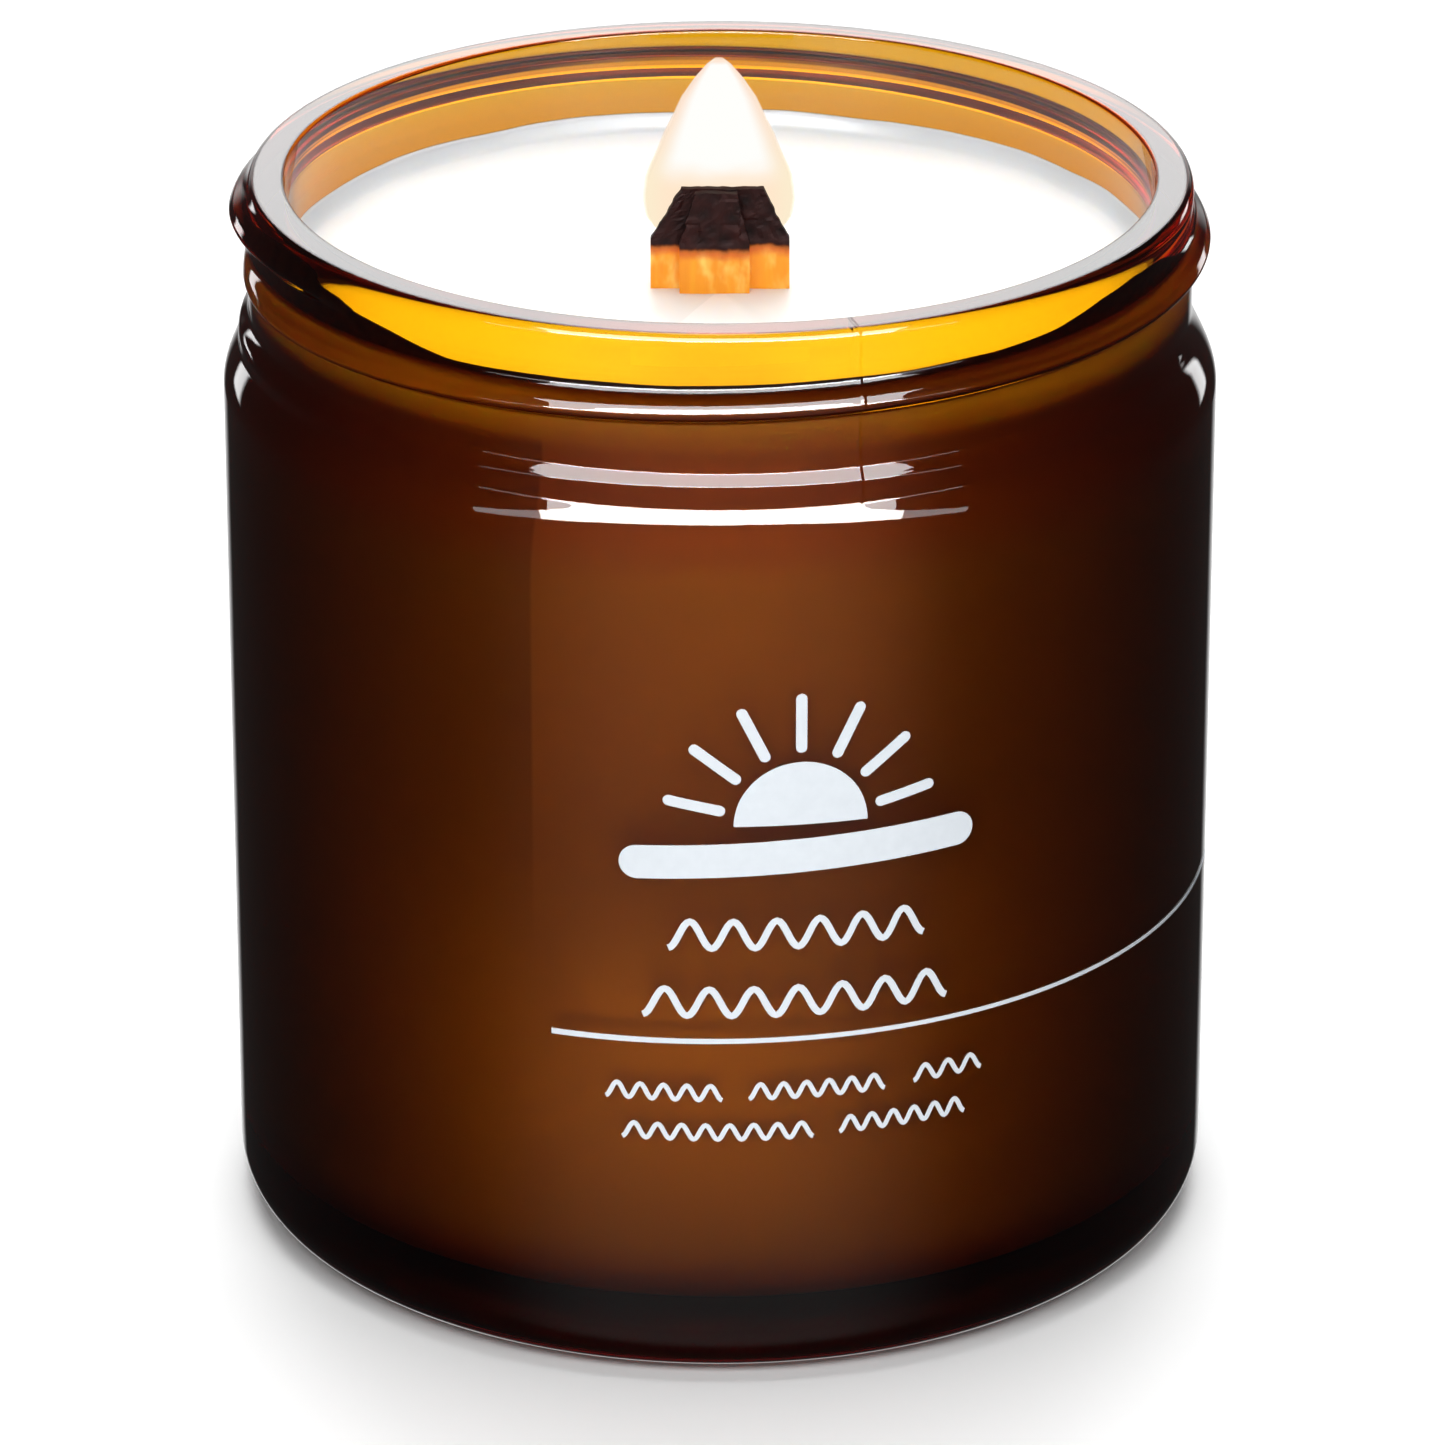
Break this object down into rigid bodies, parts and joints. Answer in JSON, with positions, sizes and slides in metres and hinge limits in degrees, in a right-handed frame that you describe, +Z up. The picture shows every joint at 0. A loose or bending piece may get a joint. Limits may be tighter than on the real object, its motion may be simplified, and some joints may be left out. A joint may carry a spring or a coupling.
{
  "type": "wooden-wick jar candle",
  "caption": "Candle in a straight-sided amber glass jar with a threaded neck, filled with white wax round a flat wooden wick.",
  "frame": {"origin": "on the jar's axis, in the plane that the jar stands on", "axes": "+Z up along the jar's axis; the broad side of the wick with the narrow strip faces -Y; the wick's width lies along X"},
  "size_m": [0.091, 0.091, 0.1004],
  "materials": {
    "amber_glass": "polished amber glass",
    "wax": "smooth white wax, slightly glossy",
    "wick_wood": "bare thin wood, burnt at the top",
    "tinplate": "bright tinplate",
    "pad_foam": "thin double-sided foam"
  },
  "bodies": {
    "root": {"glass_jar": "amber_glass", "wax_fill": "wax", "wick_strip": "wick_wood", "wick_booster": "wick_wood", "wick_clip": "tinplate", "clip_sticker": "pad_foam"}
  },
  "joints": []
}
